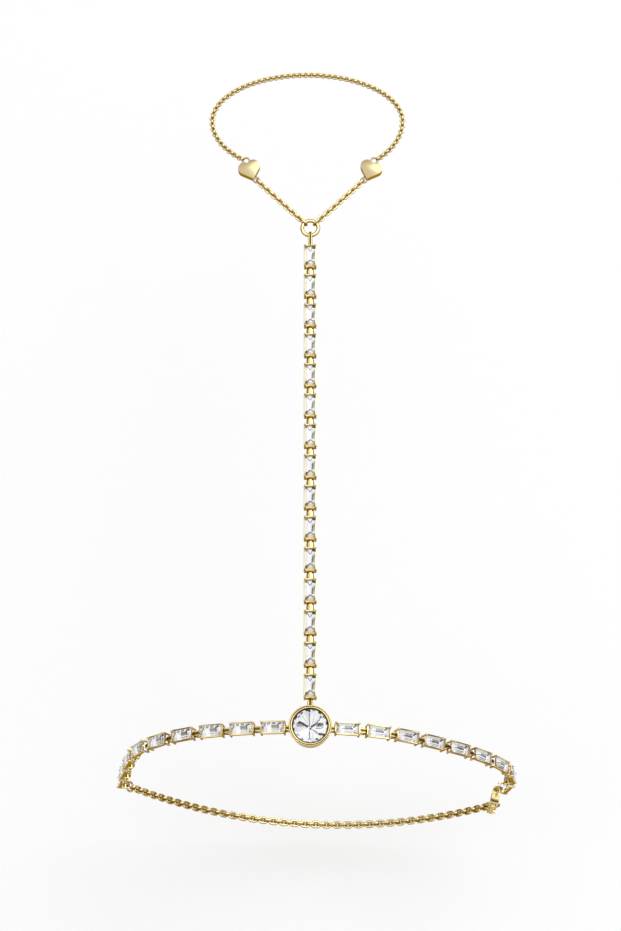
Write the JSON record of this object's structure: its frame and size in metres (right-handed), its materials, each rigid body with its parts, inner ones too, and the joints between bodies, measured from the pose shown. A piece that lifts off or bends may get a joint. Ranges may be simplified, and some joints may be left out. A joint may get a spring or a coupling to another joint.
{
  "type": "hand chain bracelet",
  "caption": "Hand chain bracelet of gold-coloured metal: a ring of baguette crystals and chain round the wrist, a crystal row over the hand, and a chain finger loop with hearts.",
  "frame": {"origin": "centre of the bezel's back, which rests on the back of the hand", "axes": "+Y from the bezel along the hand row to the finger loop, +Z out of the bezel's face, away from the hand, +X to the right seen from above"},
  "size_m": [0.0687, 0.1262, 0.0531],
  "materials": {
    "gold": "polished",
    "crystal": "polished"
  },
  "bodies": {
    "bracelet": {"bezel": "gold", "hand_setting_1": "gold", "hand_setting_2": "gold", "hand_setting_3": "gold", "hand_setting_4": "gold", "hand_setting_5": "gold", "hand_setting_6": "gold", "hand_setting_7": "gold", "hand_setting_8": "gold", "hand_setting_9": "gold", "hand_setting_10": "gold", "hand_setting_11": "gold", "hand_setting_12": "gold", "hand_setting_13": "gold", "hand_setting_14": "gold", "hand_setting_15": "gold", "left_setting_1": "gold", "left_setting_2": "gold", "left_setting_3": "gold", "left_setting_4": "gold", "left_setting_5": "gold", "left_setting_6": "gold", "left_setting_7": "gold", "left_setting_8": "gold", "left_setting_9": "gold", "right_setting_1": "gold", "right_setting_2": "gold", "right_setting_3": "gold", "right_setting_4": "gold", "right_setting_5": "gold", "right_setting_6": "gold", "right_setting_7": "gold", "right_setting_8": "gold", "right_setting_9": "gold", "hand_straps": "gold", "left_straps": "gold", "right_straps": "gold", "ring_bail": "gold", "top_ring": "gold", "finger_chain_left": "gold", "finger_chain_right": "gold", "heart_left": "gold", "heart_right": "gold", "finger_chain_back": "gold", "end_ring": "gold", "wrist_chain_left": "gold", "wrist_chain_right": "gold", "catch_ring": "gold", "clasp_body": "gold", "centre_stone": "crystal", "hand_stones": "crystal", "left_stones": "crystal", "right_stones": "crystal"},
    "lever": {"clasp_lever": "gold"}
  },
  "joints": [
    {"name": "lever_turn", "type": "hinge", "parent": "bracelet", "child": "lever", "pos_m": [0.03195, -0.00309, -0.03212], "axis": [0.9589, -0.2788, -0.0537], "range_deg": [0, 26], "stiffness_Nm_per_rad": 0.0003, "springref_deg": -11.46}
  ]
}
